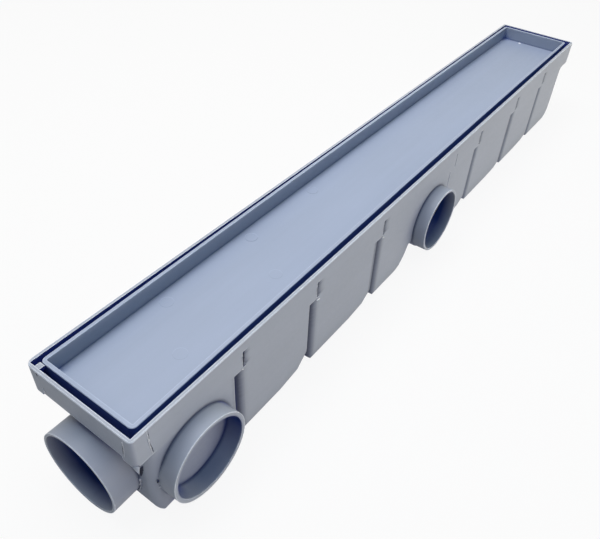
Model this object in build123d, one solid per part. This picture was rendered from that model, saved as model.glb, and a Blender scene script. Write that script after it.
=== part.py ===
from build123d import *
import os

# Channel drain with a tile tray, in millimetres.
# The body is one plastic moulding: an open rim, a plain band under it and a deep trough whose sides
# are divided by keying grooves. A pipe leaves the near end, a closed collar and an open spigot leave
# the side that faces -Y. A shallow tray that holds a tile hangs just inside the rim on small ribs.
# +Z is up, +X runs along the channel to its far end, and the origin is the middle of the underside.

# Rim and band
rim_length = 500.0
rim_width = 62.5
rim_corner_radius = 2.0
soft_corner_radius = 4.0
rim_bevel = 0.3
body_depth = 63.5
wall = 1.7
band_height = 17.1
near_band_height = 14.5
near_band_rise = 1.0
near_skirt_reach = 7.3
short_skirt_height = 15.0

# Trough ends, measured in from the rim's ends
near_inset = 6.3
near_turn_radius = 17.0
far_inset = 14.0
far_corner_radius = 12.0
far_cove_radius = 5.0

# Panels between the grooves, from the near end. The last panel takes what is left of the length.
# The longest one carries the mid outlet. Each end radius belongs to the panel in the same place.
panel_lengths = (50.8, 55.1, 62.7, 128.1, 63.7, 55.5)
panel_end_radii = (14.0, 14.0, 11.0, 9.0, 7.5, 7.0)
panel_end_run = 22.0
panel_start_round = 5.2
panel_toe_radius = 8.0
edge_radius = 3.2
least_round = 0.4

# Grooves between the panels
groove_gap = 1.8
groove_depth = 4.6
groove_floor_lift = 0.6
neck_corner_radius = 8.0

# Shallow recess in the band beyond each groove
recess_offset = 6.1
recess_width = 3.4
recess_depth = 1.0
recess_height = 10.0
recess_foot = 0.9

# Waist round the mid outlet, where the trough's lower corners draw in
waist_radius = 20.0
waist_half_length = 23.0
waist_reach = 38.0
waist_steps = 3

# End pipe, whose axis is low enough for its bore to drain the floor of the trough
end_pipe_radius = 21.9
end_bore_radius = 20.7
end_pipe_overhang = 7.8
end_axis_height = 21.4

# Near side collar, closed by a thin web that is cut out on site
collar_radius = 22.15
collar_bore_radius = 20.15
collar_height = 8.9
collar_axis_height = 24.3
collar_offset = 24.8
web_thickness = 1.3

# Mid side outlet spigot, and the hairline seam beside it
spigot_radius = 21.1
spigot_wall = 1.4
spigot_height = 8.4
spigot_axis_height = 23.9
spigot_offset = 68.5
spigot_root_step = 0.4
seam_offset = 21.7
seam_width = 0.7

# Ribs that carry the tray, and the lug that keeps it off the near rim
rib_thickness = 1.6
rib_reach = 7.2
rib_tip_height = 1.6
rib_foot_drop = 8.0
end_rib_pitch = 30.0
lug_width = 3.0
lug_clearance = 0.3
lug_height = 2.2

# Tray. It lies loose in the rim, a little askew, and its long sides have warped into a slight bow.
tray_side_gap = 2.15
tray_end_gap = 3.0
tray_shift = 0.45
tray_turn = 0.1
tray_bow = 0.9
tray_wall = 1.9
tray_floor = 1.9
tray_inner_depth = 9.5
tray_corner_radius = 2.5
tray_under_bevel = 0.8

# Levels and lines worked out from the sizes above
overlap = 1.0
half_width = rim_width / 2
near_rim = -rim_length / 2
far_rim = rim_length / 2
near_wall = near_rim + near_inset
far_wall = far_rim - far_inset
band_bottom = body_depth - band_height
near_band_bottom = body_depth - near_band_height
shelf_top = near_band_bottom + wall
ledge_top = band_bottom + wall
tray_underside = body_depth - tray_inner_depth - tray_floor
inner_half_width = half_width - wall
neck_half_width = half_width - groove_depth


def panel_spans():
    """Start and end of each panel that fits between the two end walls."""
    spans = []
    start = near_wall
    for length in panel_lengths:
        end = start + length
        if end + panel_end_run + far_corner_radius > far_wall:
            break
        spans.append((start, end))
        start = end + groove_gap
    spans.append((start, far_wall))
    return spans


spans = panel_spans()
waisted = min(panel_lengths.index(max(panel_lengths)), len(spans) - 1)
spigot_x = spans[waisted][0] + spigot_offset
collar_x = near_wall + collar_offset


def limited_round(radius, inset):
    """A round that shrinks with the inset of the surface it is on."""
    return max(radius - inset, least_round)


def box_between(x0, x1, y0, y1, z0, z1):
    return Pos((x0 + x1) / 2, (y0 + y1) / 2, (z0 + z1) / 2) * Box(x1 - x0, y1 - y0, z1 - z0)


def cross_section(x, inset, radius, top):
    """The trough's U section at x: straight sides and two rounded lower corners."""
    plane = Plane(origin=(x, 0, 0), x_dir=(0, 1, 0), z_dir=(1, 0, 0))
    width = rim_width - 2 * inset
    outline = Pos(0, (top + inset) / 2) * Rectangle(width, top - inset)
    lower_corners = outline.vertices().sort_by(Axis.Y)[:2]
    return plane * fillet(lower_corners, radius)


def waist_stations(inset):
    """Stations where the waisted panel's lower corners grow round the mid outlet and shrink back."""
    small = limited_round(edge_radius, inset)
    large = limited_round(waist_radius, inset)
    stations = []
    for step in range(waist_steps + 1):
        share = step / waist_steps
        offset = waist_reach - (waist_reach - waist_half_length) * share
        stations.append((offset, small + (large - small) * share ** 2))
    rising = [(spigot_x - offset, radius) for offset, radius in stations]
    falling = [(spigot_x + offset, radius) for offset, radius in reversed(stations)]
    return rising + falling


def start_form(start, end, inset, top, turn_radius):
    """What a panel is cut to at its start: two rounded upright corners and a rounded toe."""
    half = half_width - inset
    upright = box_between(start + inset, end, -half, half, inset, top)
    corners = upright.edges().filter_by(Axis.Z).sort_by(Axis.X)[:2].sort_by(Axis.Y)
    upright = fillet(corners[0], limited_round(panel_start_round, inset))
    corner = upright.edges().filter_by(Axis.Z).filter_by(lambda edge: edge.center().Y > half - overlap)
    upright = fillet(corner.sort_by(Axis.X)[0], limited_round(turn_radius, inset))
    toe = box_between(start + inset, end, -half, half, inset, top)
    toe_edge = toe.faces().sort_by(Axis.X)[0].edges().sort_by(Axis.Z)[0]
    return upright & fillet(toe_edge, limited_round(panel_toe_radius, inset))


def side_panel(index, inset, top):
    """One panel of the trough, whose lower corners open out at its crisp end."""
    start, end = spans[index]
    small = limited_round(edge_radius, inset)
    stations = [(start + inset, small)]
    if index == waisted:
        stations += waist_stations(inset)
    stations.append((end - panel_end_run, small))
    stations.append((end - panel_end_run / 3, small + (panel_end_radii[index] - edge_radius) / 4))
    stations.append((end - inset, limited_round(panel_end_radii[index], inset)))
    stations.sort()
    sections = [cross_section(x, inset, radius, top) for x, radius in stations]
    turn_radius = near_turn_radius if index == 0 else panel_start_round
    return loft(sections, ruled=True) & start_form(start, end, inset, top, turn_radius)


def far_panel(inset, top):
    """The last panel, with a round lower corner and, outside, a cove up to the band."""
    start = spans[-1][0]
    half = half_width - inset
    wall_x = far_wall - inset
    corner = far_corner_radius - inset
    with BuildSketch(Plane.XZ) as profile:
        with BuildLine():
            Polyline((wall_x - corner, inset), (start + inset, inset), (start + inset, top))
            if inset == 0:
                cove_x = wall_x + far_cove_radius
                Polyline((start, top), (cove_x, top), (cove_x, band_bottom))
                RadiusArc((cove_x, band_bottom), (wall_x, band_bottom - far_cove_radius), -far_cove_radius)
                Line((wall_x, band_bottom - far_cove_radius), (wall_x, corner))
            else:
                Polyline((start + inset, top), (wall_x, top), (wall_x, inset + corner))
            RadiusArc((wall_x, inset + corner), (wall_x - corner, inset), corner)
        make_face()
    block = extrude(profile.sketch, half, both=True)
    if inset == 0:
        side_edges = block.edges().filter_by(Axis.Y, reverse=True).filter_by(
            lambda edge: edge.center().Z < band_bottom and edge.center().X > start + overlap)
        block = fillet(side_edges, edge_radius)
    else:
        long_edges = block.faces().sort_by(Axis.Z)[0].edges().filter_by(Axis.X)
        block = chamfer(long_edges, limited_round(edge_radius, inset))
    return block & start_form(start, far_rim, inset, top, panel_start_round)


def neck(end, next_start, inset, lift, top):
    """The narrower stretch of trough behind a groove."""
    x0 = end - wall - overlap
    x1 = next_start + panel_start_round + inset
    half = neck_half_width - inset
    block = box_between(x0, x1, -half, half, lift, top)
    lower = block.faces().sort_by(Axis.Z)[0].edges().filter_by(Axis.X)
    return fillet(lower, limited_round(neck_corner_radius, inset))


def trough(inset, top):
    """All panels and necks: the outside with no inset, the water space with the wall as inset."""
    solid = far_panel(inset, top)
    floor = groove_floor_lift if inset == 0 else wall
    neck_top = top if inset == 0 else ledge_top + overlap
    for index, (start, end) in enumerate(spans[:-1]):
        solid += side_panel(index, inset, top)
        solid += neck(end, spans[index + 1][0], inset, floor, neck_top)
    return solid


def rim_block():
    """The rim and band as one block with rounded upright corners and a bevelled top edge."""
    block = box_between(near_rim, far_rim, -half_width, half_width, band_bottom, body_depth)
    corners = block.edges().filter_by(Axis.Z).sort_by(Axis.X)
    soft_corner = corners[:2].sort_by(Axis.Y)[-1]
    crisp_corners = [edge for edge in corners if edge != soft_corner]
    block = fillet(crisp_corners, rim_corner_radius)
    soft_corner = block.edges().filter_by(Axis.Z).filter_by(
        lambda edge: edge.center().Y > half_width - overlap / 2).sort_by(Axis.X)[0]
    block = fillet(soft_corner, soft_corner_radius)
    return chamfer(block.faces().sort_by(Axis.Z)[-1].edges(), rim_bevel)


def rim_space():
    """The space inside the rim, above the end shelves and the ledges over the grooves."""
    inner = inner_half_width
    space = box_between(near_rim + wall, far_rim - wall, -inner, inner, shelf_top, body_depth + overlap)
    return space + box_between(near_wall + wall, far_rim - wall, -inner, inner, ledge_top, body_depth)


def near_pocket():
    """The space under the near band: open across the middle, with a skirt left round each corner."""
    middle = half_width - near_skirt_reach
    short_skirt = body_depth - short_skirt_height
    plane = Plane(origin=(near_rim - overlap, 0, 0), x_dir=(0, 1, 0), z_dir=(1, 0, 0))
    outline = Polyline((-middle, -overlap), (-middle, near_band_bottom),
                       (middle, near_band_bottom + near_band_rise), (middle, short_skirt),
                       (half_width + overlap, short_skirt), (half_width + overlap, -overlap), close=True)
    outer = extrude(plane * make_face(outline), near_inset + overlap)
    inner = inner_half_width
    return outer + box_between(near_rim + wall, near_wall, -inner, inner, -overlap, near_band_bottom)


def band_recess(end):
    """Cutter for the recess in both sides of the band beyond a groove, crisp at its start only."""
    x0 = end + recess_offset
    sweep_radius = (recess_width ** 2 + recess_depth ** 2) / (2 * recess_depth)
    with BuildSketch(Plane.XY.offset(band_bottom + recess_foot)) as shape:
        with BuildLine():
            deep = half_width - recess_depth
            Polyline((x0 + recess_width, half_width), (x0 + recess_width, half_width + overlap),
                     (x0, half_width + overlap), (x0, deep))
            RadiusArc((x0, deep), (x0 + recess_width, half_width), sweep_radius)
        make_face()
    cutter = extrude(shape.sketch, recess_height)
    return cutter + mirror(cutter, Plane.XZ)


def hairline_seam():
    """The thin seam beside the mid outlet, on both sides of the band and a little below it."""
    x0 = spigot_x + seam_offset
    x1 = x0 + recess_offset
    cutters = []
    for side in (-1, 1):
        y0 = side * half_width - seam_width / 2
        y1 = y0 + seam_width
        upper_foot = band_bottom + recess_foot
        cutters.append(box_between(x1, x1 + seam_width, y0, y1, upper_foot, upper_foot + recess_height))
        cutters.append(box_between(x0, x0 + seam_width, y0, y1, spigot_axis_height, band_bottom))
    return cutters


def side_plane(x, z):
    """A plane on the -Y side wall, looking out of the wall."""
    return Plane(origin=(x, -half_width, z), x_dir=(1, 0, 0), z_dir=(0, -1, 0))


def round_bar(radius, length):
    """A cylinder that stands on its own origin."""
    return Cylinder(radius, length, align=(Align.CENTER, Align.CENTER, Align.MIN))


def end_bar(radius, overhang, length):
    """A bar on the end pipe's axis that starts beyond the near rim."""
    place = Pos(near_rim - overhang, 0, end_axis_height) * Rot(0, 90, 0)
    return place * round_bar(radius, overhang + near_inset + length)


def end_pipe():
    """The end pipe's outside, level with the trough's underside once it has met it."""
    pipe = end_bar(end_pipe_radius, end_pipe_overhang, panel_toe_radius)
    return pipe - box_between(near_wall, far_rim, -half_width, half_width, -end_pipe_radius, 0)


def side_stub(x, z, radius, height, root):
    """A solid stub on the -Y side wall, with a root behind the wall."""
    return side_plane(x, z) * Pos(0, 0, -root) * round_bar(radius, height + root)


def bores():
    """The end pipe's bore, the collar's blind socket and the spigot's open bore."""
    pipe_bore = end_bar(end_bore_radius, end_pipe_overhang + overlap, panel_toe_radius + wall)
    collar_bore = side_stub(collar_x, collar_axis_height, collar_bore_radius,
                            collar_height + overlap, wall - web_thickness)
    spigot_bore = side_stub(spigot_x, spigot_axis_height, spigot_radius - spigot_wall,
                            spigot_height + overlap, waist_radius)
    return [pipe_bore, collar_bore, spigot_bore]


def tray_ribs():
    """Gusset ribs over the grooves and short ribs on the end shelves, all up to the tray."""
    ribs = []
    tip = inner_half_width - rib_reach
    for start, end in spans[:-1]:
        centre = end + groove_gap / 2
        plane = Plane(origin=(centre - rib_thickness / 2, 0, 0), x_dir=(0, 1, 0), z_dir=(1, 0, 0))
        outline = Polyline((inner_half_width + wall / 2, ledge_top - wall / 2),
                           (inner_half_width + wall / 2, tray_underside), (tip, tray_underside),
                           (tip, tray_underside - rib_tip_height),
                           (neck_half_width - wall / 2, tray_underside - rib_foot_drop), close=True)
        rib = extrude(plane * make_face(outline), rib_thickness)
        ribs += [rib, mirror(rib, Plane.XZ)]
    for side in (-1, 1):
        y0 = side * end_rib_pitch / 2 - rib_thickness / 2
        y1 = y0 + rib_thickness
        ribs.append(box_between(near_rim + wall / 2, near_wall + wall, y0, y1,
                                shelf_top - wall / 2, tray_underside))
        ribs.append(box_between(far_wall - wall, far_rim - wall / 2, y0, y1,
                                ledge_top - wall / 2, tray_underside))
    return ribs


def near_lug():
    """The small lug on the inside of the near rim, just short of the tray."""
    x1 = near_rim + wall + tray_end_gap - lug_clearance
    y0 = inner_half_width - near_skirt_reach + lug_width / 2
    return box_between(near_rim + wall / 2, x1, y0, y0 + lug_width,
                       body_depth - lug_height, body_depth - rim_bevel)


def channel_body():
    body = rim_block() + trough(0, band_bottom + overlap) + end_pipe()
    body += side_stub(collar_x, collar_axis_height, collar_radius, collar_height, wall / 2)
    body += side_stub(spigot_x, spigot_axis_height, spigot_radius, spigot_height, wall / 2)
    body += side_stub(spigot_x, spigot_axis_height, spigot_radius + spigot_root_step, 0, waist_radius / 2)
    body -= near_pocket() - end_pipe()
    body -= rim_space()
    body -= trough(wall, shelf_top + overlap)
    body += tray_ribs()
    body += near_lug()
    body -= bores()
    for start, end in spans[:-1]:
        body -= band_recess(end)
    body -= hairline_seam()
    return body


def tray_block(inset, bottom, top):
    """An upright block with the tray's bowed outline, drawn in from its outside by the inset."""
    end_x = rim_length / 2 - wall - tray_end_gap - inset
    side_y = inner_half_width - tray_side_gap - inset
    with BuildSketch(Plane.XY.offset(bottom)) as outline:
        with BuildLine():
            Line((-end_x, side_y), (-end_x, -side_y))
            ThreePointArc((-end_x, -side_y), (0, tray_bow - side_y), (end_x, -side_y))
            Line((end_x, -side_y), (end_x, side_y))
            ThreePointArc((end_x, side_y), (0, tray_bow + side_y), (-end_x, side_y))
        make_face()
        fillet(outline.vertices(), limited_round(tray_corner_radius, inset))
    return extrude(outline.sketch, top - bottom)


def tile_tray():
    """The tray: a flat floor with low upright walls, its rim level with the body's rim."""
    outer = tray_block(0, tray_underside, body_depth)
    outer = chamfer(outer.faces().sort_by(Axis.Z)[0].edges(), tray_under_bevel)
    outer = chamfer(outer.faces().sort_by(Axis.Z)[-1].edges(), rim_bevel)
    inner = tray_block(tray_wall, tray_underside + tray_floor, body_depth + overlap)
    return Pos(0, tray_shift, 0) * Rot(0, 0, tray_turn) * (outer - inner)


os.makedirs("parts", exist_ok=True)
export_step(channel_body(), "parts/channel_body.step")
export_step(tile_tray(), "parts/tile_tray.step")
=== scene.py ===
import bpy
import bmesh
import math
import random
from mathutils import Vector, Matrix


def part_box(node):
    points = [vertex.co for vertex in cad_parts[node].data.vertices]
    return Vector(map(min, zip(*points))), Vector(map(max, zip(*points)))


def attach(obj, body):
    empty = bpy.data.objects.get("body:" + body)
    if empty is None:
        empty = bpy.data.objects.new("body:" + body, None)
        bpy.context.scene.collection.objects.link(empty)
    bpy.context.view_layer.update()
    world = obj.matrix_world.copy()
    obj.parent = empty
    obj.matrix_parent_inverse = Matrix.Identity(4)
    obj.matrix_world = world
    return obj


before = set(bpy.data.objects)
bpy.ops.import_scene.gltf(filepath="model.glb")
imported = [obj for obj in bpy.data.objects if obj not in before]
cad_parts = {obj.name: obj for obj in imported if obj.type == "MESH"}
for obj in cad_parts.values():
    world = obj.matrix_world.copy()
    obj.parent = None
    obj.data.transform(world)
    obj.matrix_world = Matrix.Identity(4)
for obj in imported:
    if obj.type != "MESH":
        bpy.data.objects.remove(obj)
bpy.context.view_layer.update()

mm = 0.001
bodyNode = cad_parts["channel_body"]
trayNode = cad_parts["tile_tray"]
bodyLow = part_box("channel_body")[0]
print("frame loaded", len(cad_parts), "nodes")


# camera, solved from the rim's corners in the photograph
camera = {
    "spot": (-0.32085, -0.15087, 0.26525),
    "turn": (48.3625, -2.2317, -53.6208),    # degrees
    "lens": 37.548,                          # mm, like the sensor
    "sensor": 36.0,
    "clip": (0.01, 50),
}


def addCamera():
    data = bpy.data.cameras.new("photoCamera")
    data.lens = camera["lens"]
    data.sensor_width = camera["sensor"]
    data.clip_start, data.clip_end = camera["clip"]
    data.dof.use_dof = False
    holder = bpy.data.objects.new("photoCamera", data)
    holder.location = camera["spot"]
    holder.rotation_euler = [math.radians(a) for a in camera["turn"]]
    bpy.context.scene.collection.objects.link(holder)
    bpy.context.scene.camera = holder


addCamera()
print("camera set")


# small helpers for node trees
def newTree(name):
    material = bpy.data.materials.new(name)
    material.use_nodes = True
    tree = material.node_tree
    tree.nodes.clear()
    return material, tree


def feed(tree, socket, value):
    if isinstance(value, bpy.types.NodeSocket):
        tree.links.new(value, socket)
    else:
        socket.default_value = value


def addNode(tree, kind, settings=None, **inputs):
    # inputs go by their name, or by their place in the node as i0, i1 and so on
    node = tree.nodes.new(kind)
    for key, value in (settings or {}).items():
        setattr(node, key, value)
    for key, value in inputs.items():
        byPlace = key[0] == "i" and key[1:].isdigit()
        feed(tree, node.inputs[int(key[1:]) if byPlace else key], value)
    return node


def scaled(tree, vector, scale):
    return addNode(tree, "ShaderNodeMapping", None, Vector=vector, Scale=scale).outputs["Vector"]


def noise(tree, vector, scale, detail, rough):
    # the scale is one number, or one each for X, Y and Z
    if isinstance(scale, tuple):
        vector, scale = scaled(tree, vector, scale), 1.0
    node = addNode(tree, "ShaderNodeTexNoise", None, Vector=vector, Scale=scale, Detail=detail, Roughness=rough)
    return node.outputs["Fac"]


def ramp(tree, value, low, high, toLow=0.0, toHigh=1.0):
    # clamped at both ends, and low may lie above high
    node = addNode(tree, "ShaderNodeMapRange", {"clamp": True}, Value=value)
    node.inputs["From Min"].default_value = low
    node.inputs["From Max"].default_value = high
    node.inputs["To Min"].default_value = toLow
    node.inputs["To Max"].default_value = toHigh
    return node.outputs["Result"]


def blendColour(tree, amount, first, second):
    # places 6, 7 and 2 are the mix node's colour sockets
    return addNode(tree, "ShaderNodeMix", {"data_type": "RGBA"}, i0=amount, i6=first, i7=second).outputs[2]


def calc(tree, operation, first, second=0.0):
    return addNode(tree, "ShaderNodeMath", {"operation": operation}, i0=first, i1=second).outputs[0]


def vectorCalc(tree, operation, first, second, output):
    return addNode(tree, "ShaderNodeVectorMath", {"operation": operation}, i0=first, i1=second).outputs[output]


def stretched(tree, vector, amount):
    return addNode(tree, "ShaderNodeVectorMath", {"operation": "SCALE"}, i0=vector, Scale=amount).outputs["Vector"]


def split(tree, vector):
    return addNode(tree, "ShaderNodeSeparateXYZ", None, Vector=vector).outputs


# what all the moulded plastic shares, lengths in metres
mould = {
    # noises: scale, detail and roughness
    "clouds": ((6, 14, 14), 3.0, 0.55),
    "streaks": ((9, 160, 120), 4.0, 0.6),
    "grain": (2600.0, 2.0, 0.5),
    "pits": (420.0, 3.0, 0.6),
    "rag": ((0, 500, 700), 2.0, 0.6),    # the ragged side of a painted shade band
    "spread": (0.3, 0.7),                # the part of a noise's range that is used
    "streakTone": 0.02,
    "bumpDepth": 0.00025,
    "bumpShares": (0.5, 0.5),            # of the grain and of the pits
    "upward": (0.2, 0.8),                # from an upright face to a flat one
    "edgeWidth": 0.0008,
    "edgeSamples": 6,
    "edgeBend": (0.998, 0.95),           # from no edge to a pale one
    "edgeBreaks": (0.35, 0.6, 0.6, 1.0),
    "edgeOpen": (0.80, 0.97),            # only edges in the open are pale
    "openSamples": 8,
    "creaseReach": 0.003,                # how far tight inner corners are felt
    "creaseOpen": (0.70, 0.35),          # how open it is where the shade starts and where it is full
    "softOpen": (0.98, 0.50),            # the same for the soft shade beside steps
    "gapSides": (4, 33, 0),              # tells walls that face out from those that face the part's middle
    "gapFacing": (0.5, 0.7),
    "gapOpen": (0.70, 0.54),
    "boreBlend": 0.003,                  # how softly the painted blue shade starts at its smaller radius
    "shadeBandHalf": 0.25,                   # half the length that the painted shade bands are spread over
    "shadeBandSide": 0.0285,                 # painted shade bands lie further out than this, on both sides
    "shadeBandStart": 0.0002,                # a painted shade band starts within this, and ends this softly below and above
    "shadeBandFoot": 0.0008,
    "shadeBandTop": 0.0004,
    "shadeBandFade": ((0.0, 0.9), (0.4, 0.4), (1.0, 0.0)),    # share of its width and what is left of it there
}

# moulded plastic of the body and the tray
bodyPlastic = {
    "colour": (0.375, 0.410, 0.480, 1),
    "pale": (0.74, 0.79, 0.86, 1),       # thin edges that catch the light
    "shade": (0.070, 0.090, 0.155, 1),   # painted shade, slate grey, in shallow grooves and beside steps
    "crease": (0.050, 0.060, 0.110, 1),  # painted shade in tight inner corners
    "deep": (0.035, 0.060, 0.300, 1),    # painted shade: the saturated blue that light picks up in narrow gaps
    "inner": (0.010, 0.034, 0.180, 1),   # the same painted shade of blue inside the pipes
    "mottle": 0.050,
    "rough": (0.40, 0.54),
    "grain": 0.10,
    "gloss": 0.30,
    "hollow": 0.016,                     # how far the gaps are felt
    "gap": (0.41, 0.24),                 # how open a gap is where the painted blue shade starts and where it is full
    "groove": (0.0026, 0.88, 0.60, 0.75),  # how far a groove's painted shade reaches, from where to where, and how strongly
    "pipes": [
        # axis, centre, radius from and to, then where the painted blue shade starts and where it is full, first
        # along the axis and then by height, and how strong it is
        ("X", (0.0, 0.0, 0.0214), (-0.01, 0.0213), (-0.2584, -0.2496), (-0.035, -0.030), 1.0),
        ("Y", (-0.0012, 0.0, 0.0239), (-0.01, 0.0203), (-0.0405, -0.0320), (-0.020, 0.012), 1.0),
        ("Y", (-0.2189, 0.0, 0.0243), (-0.01, 0.0206), (-0.0405, -0.0390), (-0.035, -0.030), 0.26),
        ("Y", (-0.2189, 0.0, 0.0243), (0.0170, 0.0206), (-0.0412, -0.0392), (0.008, 0.026), 1.0),
    ],
    "side": -1,                          # the walls of a narrow gap face in (-1) or out (1), and 0 is neither
    "shadeBands": [
        # height from and to, raggedness, how far it holds along X, then where each painted shade band starts, how far
        # it fades out and how strong it is
        (0.0015, 0.0466, 0.0002, 0.0038, [(-0.1932, 0.0046, 1.0), (-0.1365, 0.0050, 0.96), (-0.0722, 0.0056, 0.92),
                                          (0.0578, 0.0036, 0.85), (0.1227, 0.0060, 0.85), (0.1800, 0.0060, 0.90)]),
        (0.0474, 0.0573, 0.0009, 0.0012, [(-0.1873, 0.0040, 1.0), (-0.1303, 0.0050, 0.9), (-0.0658, 0.0056, 0.85),
                                          (0.0641, 0.0036, 0.7), (0.1296, 0.0060, 0.8), (0.1869, 0.0060, 0.7)]),
    ],
    # colour of the painted shade bands at the grooves and recesses
    "shadeBand": (0.052, 0.062, 0.104, 1),
    "wall": 1.0,                         # painted shade: how light the upright faces are beside the flat ones
    "soft": 0.14,                        # soft shade beside every step
}
trayPlastic = {
    "colour": (0.346, 0.406, 0.530, 1),
    "pale": (0.49, 0.56, 0.69, 1),
    "shade": (0.280, 0.330, 0.440, 1),
    "crease": (0.080, 0.110, 0.200, 1),
    "deep": (0.060, 0.110, 0.320, 1),
    "mottle": 0.040,
    "rough": (0.34, 0.46),
    "grain": 0.07,
    "gloss": 0.34,
    "hollow": 0.010,
    "gap": (0.48, 0.28),
    "groove": (0.003, 0.90, 0.62, 0.50),
    "pipes": [],
    "side": 1,
    "shadeBands": [],
    "wall": 0.79,
    "soft": 0.34,
}


def insidePipe(tree, place, axis, centre, radii, along, height, share):
    # how deep a point lies in the bore of a pipe, and how high up in it, for the painted shade there
    parts = split(tree, place)
    flat = (0, 1, 1) if axis == "X" else (1, 0, 1)
    radius = vectorCalc(tree, "DISTANCE", scaled(tree, place, flat), centre, "Value")
    beyond = ramp(tree, radius, radii[0], radii[0] + mould["boreBlend"])
    within = calc(tree, "MULTIPLY", beyond, calc(tree, "LESS_THAN", radius, radii[1]))
    within = calc(tree, "MULTIPLY", within, calc(tree, "LESS_THAN", parts[axis], 0.0))
    deep = calc(tree, "MULTIPLY", ramp(tree, parts[axis], *along, 0.0, share), ramp(tree, parts["Z"], *height))
    return calc(tree, "MULTIPLY", within, deep)


def shadeBandMask(tree, place, low, high, rag, hold, spots):
    # painted shade that starts sharply at an edge of the side walls and fades out along X
    parts = split(tree, place)
    half = mould["shadeBandHalf"]
    wobble = ramp(tree, noise(tree, place, *mould["rag"]), *mould["spread"], -rag, rag)
    along = calc(tree, "ADD", parts["X"], wobble)
    curve = addNode(tree, "ShaderNodeValToRGB", None, Fac=ramp(tree, along, -half, half))
    stops = curve.color_ramp.elements      # 32 at most
    stops[0].color = stops[1].color = (0, 0, 0, 1)
    for start, width, share in spots:
        levels = [(start - mould["shadeBandStart"], 0.0), (start, share)]
        levels += [(start + hold + width * part, share * left) for part, left in mould["shadeBandFade"]]
        for x, level in levels:
            stops.new((x + half) / (2 * half)).color = (level, level, level, 1)
    upright = calc(tree, "MULTIPLY", ramp(tree, parts["Z"], low, low + mould["shadeBandFoot"]),
                   ramp(tree, parts["Z"], high, high - mould["shadeBandTop"]))
    outside = calc(tree, "GREATER_THAN", calc(tree, "ABSOLUTE", parts["Y"]), mould["shadeBandSide"])
    return calc(tree, "MULTIPLY", curve.outputs["Color"], calc(tree, "MULTIPLY", upright, outside))


def openness(tree, reach, ownPieceOnly=False):
    # 1 in the open, lower the more there is within reach
    settings = {"samples": mould["openSamples"], "only_local": ownPieceOnly}
    return addNode(tree, "ShaderNodeAmbientOcclusion", settings, Distance=reach).outputs["AO"]


def mouldedPlastic(name, look):
    material, tree = newTree(name)
    place = addNode(tree, "ShaderNodeTexCoord").outputs["Object"]
    normal = addNode(tree, "ShaderNodeNewGeometry").outputs["Normal"]
    clouds = noise(tree, place, *mould["clouds"])
    streaks = noise(tree, place, *mould["streaks"])
    grain = noise(tree, place, *mould["grain"])
    pits = noise(tree, place, *mould["pits"])

    # broad clouds and faint flow streaks from the moulding
    shade = calc(tree, "ADD", ramp(tree, clouds, *mould["spread"], 1 - look["mottle"], 1 + look["mottle"]),
                 ramp(tree, streaks, *mould["spread"], -mould["streakTone"], mould["streakTone"]))
    # painted shade: upright faces darker than flat ones
    facing = ramp(tree, split(tree, normal)["Z"], *mould["upward"], look["wall"], 1.0)
    tone = stretched(tree, look["colour"][:3], calc(tree, "MULTIPLY", shade, facing))

    # a bevel that differs from the true normal marks every sharp edge for a painted highlight, and open sky tells
    # outer from inner
    bevel = addNode(tree, "ShaderNodeBevel", {"samples": mould["edgeSamples"]}, Radius=mould["edgeWidth"])
    bend = vectorCalc(tree, "DOT_PRODUCT", bevel.outputs["Normal"], normal, "Value")
    near = openness(tree, mould["creaseReach"])
    far = openness(tree, look["hollow"])
    edgeHighlight = calc(tree, "MULTIPLY", ramp(tree, bend, *mould["edgeBend"]), ramp(tree, pits, *mould["edgeBreaks"]))
    edgeHighlight = calc(tree, "MULTIPLY", edgeHighlight, ramp(tree, near, *mould["edgeOpen"]))
    # painted shade in shallow grooves, and soft painted shade beside every step
    reach, start, full, share = look["groove"]
    grooveShade = ramp(tree, openness(tree, reach, True), start, full, 0.0, share)
    softened = blendColour(tree, ramp(tree, far, *mould["softOpen"], 0.0, look["soft"]), tone, look["shade"])
    shaded = blendColour(tree, grooveShade, softened, look["shade"])
    edged = blendColour(tree, edgeHighlight, shaded, look["pale"])
    # painted shade bands at the grooves and recesses of the side walls
    for shadeBand in look["shadeBands"]:
        edged = blendColour(tree, shadeBandMask(tree, place, *shadeBand), edged, look["shadeBand"])
    # painted shade in tight inner corners
    creased = blendColour(tree, ramp(tree, near, *mould["creaseOpen"]), edged, look["crease"])

    # painted shade: the walls of the gap between tray and rim go dark right below the edge, and narrow gaps turn blue
    gapShade = ramp(tree, far, *look["gap"])
    if look["side"]:
        outward = vectorCalc(tree, "DOT_PRODUCT", scaled(tree, place, mould["gapSides"]), normal, "Value")
        walls = ramp(tree, outward, *[limit * look["side"] for limit in mould["gapFacing"]])
        narrow = calc(tree, "MULTIPLY", walls, ramp(tree, far, *mould["gapOpen"]))
        gapShade = calc(tree, "MAXIMUM", narrow, gapShade)
    finished = blendColour(tree, gapShade, creased, look["deep"])
    # painted shade inside the pipes
    for pipe in look["pipes"]:
        finished = blendColour(tree, insidePipe(tree, place, *pipe), finished, look["inner"])

    roughness = ramp(tree, pits, *mould["spread"], *look["rough"])
    grainShare, pitShare = mould["bumpShares"]
    height = calc(tree, "ADD", calc(tree, "MULTIPLY", grain, grainShare), calc(tree, "MULTIPLY", pits, pitShare))
    bump = addNode(tree, "ShaderNodeBump", None, Strength=look["grain"], Distance=mould["bumpDepth"], Height=height)
    shader = addNode(tree, "ShaderNodeBsdfPrincipled", None, Roughness=roughness, Normal=bump.outputs["Normal"])
    feed(tree, shader.inputs["Base Color"], finished)
    feed(tree, shader.inputs["Specular IOR Level"], look["gloss"])
    addNode(tree, "ShaderNodeOutputMaterial", None, Surface=shader.outputs["BSDF"])
    return material


def dress(node, material):
    for slot in node.material_slots:
        slot.material = material


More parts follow.
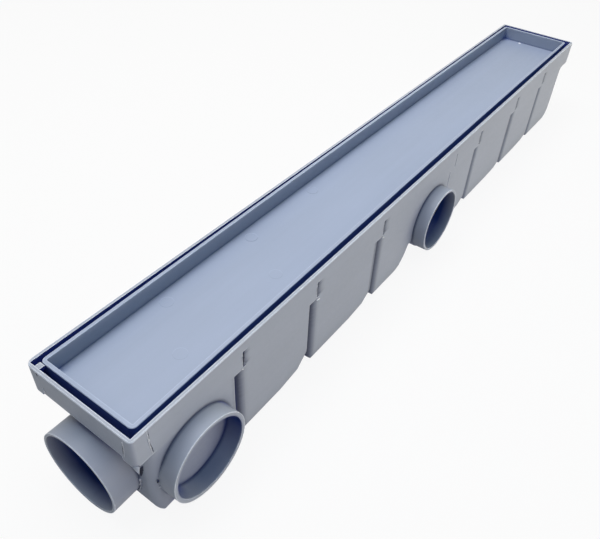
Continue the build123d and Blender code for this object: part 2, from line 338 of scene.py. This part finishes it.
dress(bodyNode, mouldedPlastic("bodyPlastic", bodyPlastic))
dress(trayNode, mouldedPlastic("trayPlastic", trayPlastic))
print("plastic finished")


# the torn tip of the near corner, without the bright painted edge highlight of the solid walls
tipPlastic = dict(bodyPlastic, pale=(0.50, 0.54, 0.61, 1), side=0, pipes=[], shadeBands=[])
# pale plastic where it has been torn, scraped or squeezed out
burrPlastic = dict(tipPlastic, colour=(0.640, 0.665, 0.710, 1), pale=(0.74, 0.76, 0.80, 1),
                   shade=(0.50, 0.53, 0.59, 1), crease=(0.38, 0.41, 0.47, 1), deep=(0.34, 0.37, 0.45, 1),
                   mottle=0.09, rough=(0.30, 0.46), grain=0.30)
# thin glossy slivers under the recesses, coloured near white as a painted highlight of their glint
sliverPlastic = dict(burrPlastic, colour=(0.86, 0.88, 0.92, 1), pale=(0.90, 0.92, 0.95, 1),
                     shade=(0.80, 0.82, 0.87, 1), crease=(0.60, 0.63, 0.70, 1), deep=(0.60, 0.63, 0.70, 1),
                     rough=(0.20, 0.30), gloss=0.6)
# painted shadow: dark plastic for pieces in cracks beside the flash
crackShadowPlastic = dict(tipPlastic, colour=(0.030, 0.034, 0.055, 1), pale=(0.045, 0.050, 0.075, 1),
                   shade=(0.020, 0.024, 0.045, 1), crease=(0.010, 0.013, 0.032, 1), mottle=0.20, rough=(0.55, 0.75),
                   grain=0.40, gloss=0.12)
tipMaterial = mouldedPlastic("tipPlastic", tipPlastic)
burrMaterial = mouldedPlastic("burrPlastic", burrPlastic)
crackShadowMaterial = mouldedPlastic("crackShadowPlastic", crackShadowPlastic)
sliverMaterial = mouldedPlastic("sliverPlastic", sliverPlastic)


# mesh helpers for the marks that the mould left
def keepPiece(name, bm, material):
    bmesh.ops.recalc_face_normals(bm, faces=bm.faces)
    mesh = bpy.data.meshes.new(name)
    bm.to_mesh(mesh)
    bm.free()
    mesh.shade_smooth()
    mesh.materials.append(material)
    piece = bpy.data.objects.new(name, mesh)
    bpy.context.scene.collection.objects.link(piece)
    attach(piece, "root")


def evenSteps(path, step):
    points = [Vector(p) * mm for p in path]
    result = [points[0]]
    for start, end in zip(points, points[1:]):
        count = max(1, round((end - start).length / (step * mm)))
        result += [start.lerp(end, k / count) for k in range(1, count + 1)]
    return result


ridge = {
    "step": 0.3,             # mm between its rows
    "sunk": 0.12,            # mm that it stands in what carries it
    "leastEnd": 0.15,        # share of its size that is left at its ends
    "shoulder": (0.5, 0.6),  # share of its half width and of its height
    "widthRough": 0.5,       # how much of the raggedness goes into its width
}


def addRidge(bm, path, outward, width, height, rough, seed, ends=(4, 4)):
    # a low ragged fin along a path, closed underneath, and ends says how fast it grows from its two ends
    rng = random.Random(seed)
    points = evenSteps(path, ridge["step"])
    out = Vector(outward).normalized()
    foot = out * ridge["sunk"] * mm
    least = ridge["leastEnd"]
    aside, up = ridge["shoulder"]
    rows = []
    for k, point in enumerate(points):
        ahead = points[min(k + 1, len(points) - 1)] - points[max(k - 1, 0)]
        across = ahead.cross(out).normalized()
        share = k / (len(points) - 1)
        taper = min(1.0, ends[0] * share + least, ends[1] * (1 - share) + least)
        tall = height * mm * taper * (1 + rough * rng.uniform(-1, 1))
        half = width * mm / 2 * taper * (1 + ridge["widthRough"] * rough * rng.uniform(-1, 1))
        lean = across * half * rough * rng.uniform(-1, 1)
        rows.append([bm.verts.new(v) for v in (
            point - across * half - foot, point - across * half * aside + out * tall * up + lean,
            point + out * tall + lean, point + across * half * aside + out * tall * up + lean,
            point + across * half - foot)])
    for a, b in zip(rows, rows[1:]):
        for k in range(len(a)):
            following = (k + 1) % len(a)
            bm.faces.new((a[k], a[following], b[following], b[k]))
    bm.faces.new(rows[0])
    bm.faces.new(rows[-1])


lump = {
    "fineness": 3,           # of the ball that it starts as
    "waves": 5,
    "rate": (2, 5),
    "phase": (0, 6),         # radians
    "calm": 3,               # what the sum of the waves is divided by
}


def addLump(bm, spot, size, turn, rough, seed):
    # an irregular blob: spot and size in mm, turn is the slope of its length in the side wall, in degrees
    rng = random.Random(seed)
    made = bmesh.ops.create_icosphere(bm, subdivisions=lump["fineness"], radius=0.5 * mm)["verts"]
    waves = [(Vector([rng.uniform(-1, 1) for _ in range(3)]), rng.uniform(*lump["rate"]), rng.uniform(*lump["phase"]))
             for _ in range(lump["waves"])]
    place = Matrix.Translation(Vector(spot) * mm) @ Matrix.Rotation(math.radians(turn), 4, "Y")
    for vert in made:
        direction = vert.co.normalized()
        swell = sum(math.sin(direction.dot(axis) * rate + phase) for axis, rate, phase in waves)
        swell = 1 + rough * swell / lump["calm"]
        vert.co = place @ Vector([c * swell * s for c, s in zip(vert.co, size)])


# flash where the halves of the mould met, places and sizes of all these marks in mm
flashLines = {
    "lines": [
        # path, outward, width, height
        ([(-242.0, -31.25, 63.0), (-242.0, -31.25, 55.9), (-241.7, -31.25, 52.0), (-241.2, -31.25, 46.6)],
         (0, -1, 0), 0.62, 0.26),
        ([(-250, -27.1, 63.0), (-250, -26.8, 60.0), (-250, -26.5, 56.0), (-250, -25.5, 49.4)],
         (-1, 0, 0), 0.50, 0.24),
        ([(-250, 22.9, 55.0), (-250, 22.2, 52.6), (-250, 21.3, 50.9)], (-1, 0, 0), 0.42, 0.20),
    ],
    "rough": 0.5,
    "seed": 3,
}


def addFlashLines():
    bm = bmesh.new()
    for k, line in enumerate(flashLines["lines"]):
        addRidge(bm, *line, flashLines["rough"], flashLines["seed"] + k)
    keepPiece("flashLines", bm, burrMaterial)


# the torn foot of the band's near corner
cornerTip = {
    "path": [(-249.4, -30.7, 47.6), (-249.3, -30.9, 44.6), (-249.1, -31.1, 42.3)],
    "outward": (-0.7, -0.7, 0),
    "width": 3.0,
    "height": 0.4,
    "rough": 0.15,
    "seed": 22,
    "ends": (20, 1.0),       # blunt above, pointed below
}


def addCornerTip():
    tip = cornerTip
    bm = bmesh.new()
    addRidge(bm, tip["path"], tip["outward"], tip["width"], tip["height"], tip["rough"], tip["seed"], tip["ends"])
    keepPiece("cornerTip", bm, tipMaterial)


# painted shadow: dark ridges in cracks beside the flash, and along the edge where each recess of the band starts
crackShadows = {
    "cracks": [
        # path, outward, width, height, raggedness
        ([(-241.5, -31.25, 55.0), (-241.2, -31.25, 51.6), (-240.6, -31.25, 46.8)], (0, -1, 0), 0.62, 0.10, 0.4),
        ([(-241.3, -31.25, 62.4), (-241.4, -31.25, 57.0)], (0, -1, 0), 0.30, 0.06, 0.5),
        ([(-250, -26.0, 59.4), (-250, -25.9, 56.0), (-250, -25.0, 50.4)], (-1, 0, 0), 0.45, 0.08, 0.4),
        ([(-250, 23.7, 63.0), (-250, 23.5, 60.6)], (-1, 0, 0), 0.95, 0.10, 0.4),
        ([(-250, 22.3, 54.4), (-250, 21.0, 51.0)], (-1, 0, 0), 0.35, 0.08, 0.4),
        ([(-243.9, -26.4, 35.8), (-243.9, -24.9, 31.1), (-243.9, -23.4, 25.2)], (-1, -0.4, 0), 2.0, 0.25, 0.3),
        ([(-241.7, -31.3, 27.0), (-241.5, -31.3, 25.2)], (0, -1, 0), 1.1, 0.20, 0.4),
    ],
    "crackSeed": 51,
    "crackEnds": (2.5, 2.5),
    "recesses": [
        # where it starts, how wide its shadowed edge is and how ragged
        (-186.9, 1.5, 0.80), (-130.0, 1.2, 0.60), (-65.5, 1.1, 0.50),
        (64.4, 0.8, 0.4), (129.9, 0.9, 0.4), (187.2, 0.8, 0.4),
    ],
    "recessEdge": [(1.6, 57.1), (0.75, 56.3), (0.40, 54.6), (0.25, 52.0), (0.35, 49.4), (0.25, 47.4)],
    "recessLevel": -31.12,
    "recessOutward": (0, -1, 0),
    "recessHeight": 0.16,
    "recessSeed": 11,
}


def addCrackShadows():
    shadowTable = crackShadows
    bm = bmesh.new()
    for k, crack in enumerate(shadowTable["cracks"]):
        addRidge(bm, *crack, shadowTable["crackSeed"] + k, shadowTable["crackEnds"])
    for k, (x, width, rag) in enumerate(shadowTable["recesses"]):
        path = [(x + offset, shadowTable["recessLevel"], z) for offset, z in shadowTable["recessEdge"]]
        addRidge(bm, path, shadowTable["recessOutward"], width, shadowTable["recessHeight"], rag, shadowTable["recessSeed"] + k)
    keepPiece("crackShadows", bm, crackShadowMaterial)


# flash squeezed out between the end pipe and the trough, and loose lumps
burrs = {
    "seamAngles": (6, -40),  # degrees, from the pipe's -Y side
    "seamSteps": 12,
    "seamRadius": 22.3,
    "seamWall": -243.7,
    "seamSunk": 0.1,
    "seamOutward": (-0.7, -0.7, 0),
    "seamSize": (0.8, 0.45),  # width and height
    "seamRough": 0.8,
    "seamSeed": 21,
    "pipeAxis": (0.0, 21.4),
    "lumps": [
        # spot, size, turn
        ((-241.9, -31.30, 56.6), (0.9, 0.7, 1.5), 20), ((-250.0, -26.7, 60.6), (0.6, 0.8, 1.1), 0),
        ((-240.4, -31.4, 21.6), (2.4, 0.8, 0.7), 28), ((-238.6, -31.4, 18.6), (1.8, 0.7, 0.6), 32),
        ((-257.3, -21.4, 19.4), (0.7, 0.8, 1.6), 0), ((-239.7, -39.8, 20.2), (0.8, 0.6, 1.2), 10),
        ((-244.0, -22.3, 21.6), (1.0, 0.9, 1.5), 0), ((-244.0, -21.7, 17.6), (1.2, 1.0, 1.2), 0),
        ((-187.2, -31.35, 46.5), (1.6, 0.7, 0.8), 35),
    ],
    "lumpRough": 0.35,
    "lumpSeed": 41,
}


def addBurrs():
    bm = bmesh.new()
    y, z = burrs["pipeAxis"]
    first, last = burrs["seamAngles"]
    x, radius, steps = burrs["seamWall"] - burrs["seamSunk"], burrs["seamRadius"], burrs["seamSteps"]
    angles = [math.radians(first + (last - first) * k / steps) for k in range(steps + 1)]
    arc = [(x, y - radius * math.cos(angle), z + radius * math.sin(angle)) for angle in angles]
    addRidge(bm, arc, burrs["seamOutward"], *burrs["seamSize"], burrs["seamRough"], burrs["seamSeed"])
    for k, spot in enumerate(burrs["lumps"]):
        addLump(bm, *spot, burrs["lumpRough"], burrs["lumpSeed"] + k)
    keepPiece("burrs", bm, burrMaterial)


# thin torn slivers at the foot of two recesses
slivers = {
    "spots": [((-128.9, -31.5, 45.4), (3.4, 1.0, 0.9), 14), ((-64.9, -31.5, 45.6), (2.6, 0.9, 0.7), 10)],
    "rough": 0.18,
    "seed": 31,
}


def addSlivers():
    bm = bmesh.new()
    for k, spot in enumerate(slivers["spots"]):
        addLump(bm, *spot, slivers["rough"], slivers["seed"] + k)
    keepPiece("slivers", bm, sliverMaterial)


addFlashLines()
addCornerTip()
addCrackShadows()
addBurrs()
addSlivers()
print("burrs and flash in place")


# round ejector marks on the tray's floor, with a painted highlight on one half of each and painted shade on the other
ejectorMarks = {
    "floorLevel": 54.0,
    "rings": [
        # x, y and how strong the mark is
        (-183.0, 19.0, 0.45), (-120.0, 19.4, 1.0), (-63.0, 19.8, 0.9), (-202.0, -8.5, 0.25), (-135.0, -9.0, 0.3),
    ],
    "radius": 3.4,
    "width": 0.62,                     # of a full ring
    "height": 0.12,
    "leastWidth": 0.4,                 # share of the width that the faintest ring keeps
    "steps": 30,
    "rough": 0.15,
    "seed": 61,
    "ends": (3, 3),
    "litArc": (-55, 145),              # degrees
    "dimArc": (125, 325),
}
litPlastic = dict(trayPlastic, colour=(0.400, 0.465, 0.600, 1), pale=(0.43, 0.50, 0.63, 1))
dimPlastic = dict(trayPlastic, colour=(0.270, 0.320, 0.430, 1), pale=(0.27, 0.32, 0.43, 1))


def addEjectorHalf(name, arc, look):
    marks = ejectorMarks
    first, last = marks[arc]
    radius, steps, least = marks["radius"], marks["steps"], marks["leastWidth"]
    turns = [math.radians(first + (last - first) * n / steps) for n in range(steps + 1)]
    bm = bmesh.new()
    for k, (x, y, share) in enumerate(marks["rings"]):
        path = [(x + radius * math.cos(a), y + radius * math.sin(a), marks["floorLevel"]) for a in turns]
        addRidge(bm, path, (0, 0, 1), marks["width"] * (least + (1 - least) * share), marks["height"] * share,
                 marks["rough"], marks["seed"] + k, marks["ends"])
    keepPiece(name, bm, mouldedPlastic(name, look))


# where the plastic was fed in, at the far end of the tray
gateMark = {
    "spot": (241.0, 10.8, 54.0),
    "size": (3.2, 2.6, 1.2),
    "rough": 0.2,
    "seed": 9,
}
gatePlastic = dict(litPlastic, colour=(0.80, 0.84, 0.90, 1), pale=(0.85, 0.88, 0.93, 1))


def addGateMark():
    bm = bmesh.new()
    addLump(bm, gateMark["spot"], gateMark["size"], 0, gateMark["rough"], gateMark["seed"])
    keepPiece("gateMark", bm, mouldedPlastic("gateMark", gatePlastic))


addEjectorHalf("ejectorLit", "litArc", litPlastic)
addEjectorHalf("ejectorDim", "dimArc", dimPlastic)
addGateMark()
print("tray marks in place")


# floor, light and surroundings, in metres
studio = {
    "floorSize": 6.0,
    "floorColour": (0.42, 0.42, 0.42, 1),
    "seenWhite": 0.86,               # how much of the floor's look is plain white
    "whiteLevel": 1.06,
    "mirrored": 0.5,                 # how much of that white shows in reflections
    "sky": {                         # light from all round, and what each direction adds
        "even": (0.02, 0.02, 0.02),
        "up": (0.08, 0.06, 0.07),
        "far": (0.38, 0.42, 0.29),
        "near": (0.13, 0.18, 0.23),
        "back": (0.38, 0.32, 0.24),
    },
}
lamps = [
    # name, spot, aim, width, height, watts, colour
    ("topSoft", (0.40, 0.30, 1.5), (0.0, 0.0, 0.0), 1.6, 1.6, 0.5, (0.92, 0.97, 1.0)),
    ("midSoft", (0.02, 0.12, 0.7), (0.02, 0.0, 0.05), 0.5, 0.5, 2.7, (1.0, 0.92, 0.88)),
    ("nearHigh", (-0.34, 0.30, 1.2), (-0.25, 0.0, 0.03), 0.4, 0.4, 4.6, (0.86, 0.94, 1.0)),
    ("outletTop", (-0.15, -0.60, 1.1), (-0.1, -0.03, 0.03), 1.0, 0.5, 2.8, (0.40, 0.66, 1.0)),
    ("sideStrip", (-0.10, -1.5, 0.07), (-0.1, 0.0, 0.05), 2.4, 0.12, 9.2, (1.0, 0.89, 0.87)),
    ("sideFar", (1.50, -1.3, 0.07), (0.0, 0.0, 0.05), 1.2, 0.12, 11.4, (1.0, 0.91, 0.66)),
    ("topBack", (0.30, 1.2, 1.0), (0.0, 0.0, 0.03), 1.4, 1.0, 0.3, (1.0, 0.98, 0.92)),
]


def addLamp(name, spot, aim, width, height, watts, colour):
    data = bpy.data.lights.new(name, "AREA")
    data.shape = "RECTANGLE"
    data.size = width
    data.size_y = height
    data.energy = watts
    data.color = colour
    lamp = bpy.data.objects.new(name, data)
    lamp.location = spot
    lamp.rotation_euler = (Vector(aim) - Vector(spot)).to_track_quat("-Z", "Y").to_euler()
    bpy.context.scene.collection.objects.link(lamp)


def seenAsWhite(tree):
    # full to the camera, and a share of it in reflections
    path = addNode(tree, "ShaderNodeLightPath").outputs
    shine = calc(tree, "MULTIPLY", path["Is Glossy Ray"], studio["mirrored"])
    return calc(tree, "MAXIMUM", path["Is Camera Ray"], shine)


def addFloor():
    half = studio["floorSize"] / 2
    level = bodyLow.z                      # the end pipe hangs a little below the underside
    mesh = bpy.data.meshes.new("studioFloor")
    corners = [(-half, -half, level), (half, -half, level), (half, half, level), (-half, half, level)]
    mesh.from_pydata(corners, [], [(0, 1, 2, 3)])
    floor = bpy.data.objects.new("studioFloor", mesh)
    bpy.context.scene.collection.objects.link(floor)
    material, tree = newTree("studioFloor")
    seen = calc(tree, "MULTIPLY", seenAsWhite(tree), studio["seenWhite"])
    matte = addNode(tree, "ShaderNodeBsdfDiffuse", None, Color=studio["floorColour"])
    white = addNode(tree, "ShaderNodeEmission", None, Color=(1, 1, 1, 1), Strength=studio["whiteLevel"])
    both = addNode(tree, "ShaderNodeMixShader", None, i0=seen, i1=matte.outputs[0], i2=white.outputs[0])
    addNode(tree, "ShaderNodeOutputMaterial", None, Surface=both.outputs[0])
    mesh.materials.append(material)


def setWorld():
    world = bpy.data.worlds.new("studioWorld")
    world.use_nodes = True
    tree = world.node_tree
    tree.nodes.clear()
    sky = studio["sky"]
    facing = split(tree, addNode(tree, "ShaderNodeTexCoord").outputs["Generated"])
    light = sky["even"]
    for part, axis, sign in (("up", "Z", 1), ("far", "X", 1), ("near", "X", -1), ("back", "Y", 1)):
        share = stretched(tree, sky[part], ramp(tree, facing[axis], 0.0, sign))
        light = vectorCalc(tree, "ADD", light, share, "Vector")
    colour = blendColour(tree, seenAsWhite(tree), light, (1, 1, 1, 1))
    backdrop = addNode(tree, "ShaderNodeBackground", None, Color=colour, Strength=1.0)
    addNode(tree, "ShaderNodeOutputWorld", None, Surface=backdrop.outputs[0])
    bpy.context.scene.world = world


for lamp in lamps:
    addLamp(*lamp)
addFloor()
setWorld()
bpy.context.scene.view_settings.view_transform = "Standard"
print("studio lit")
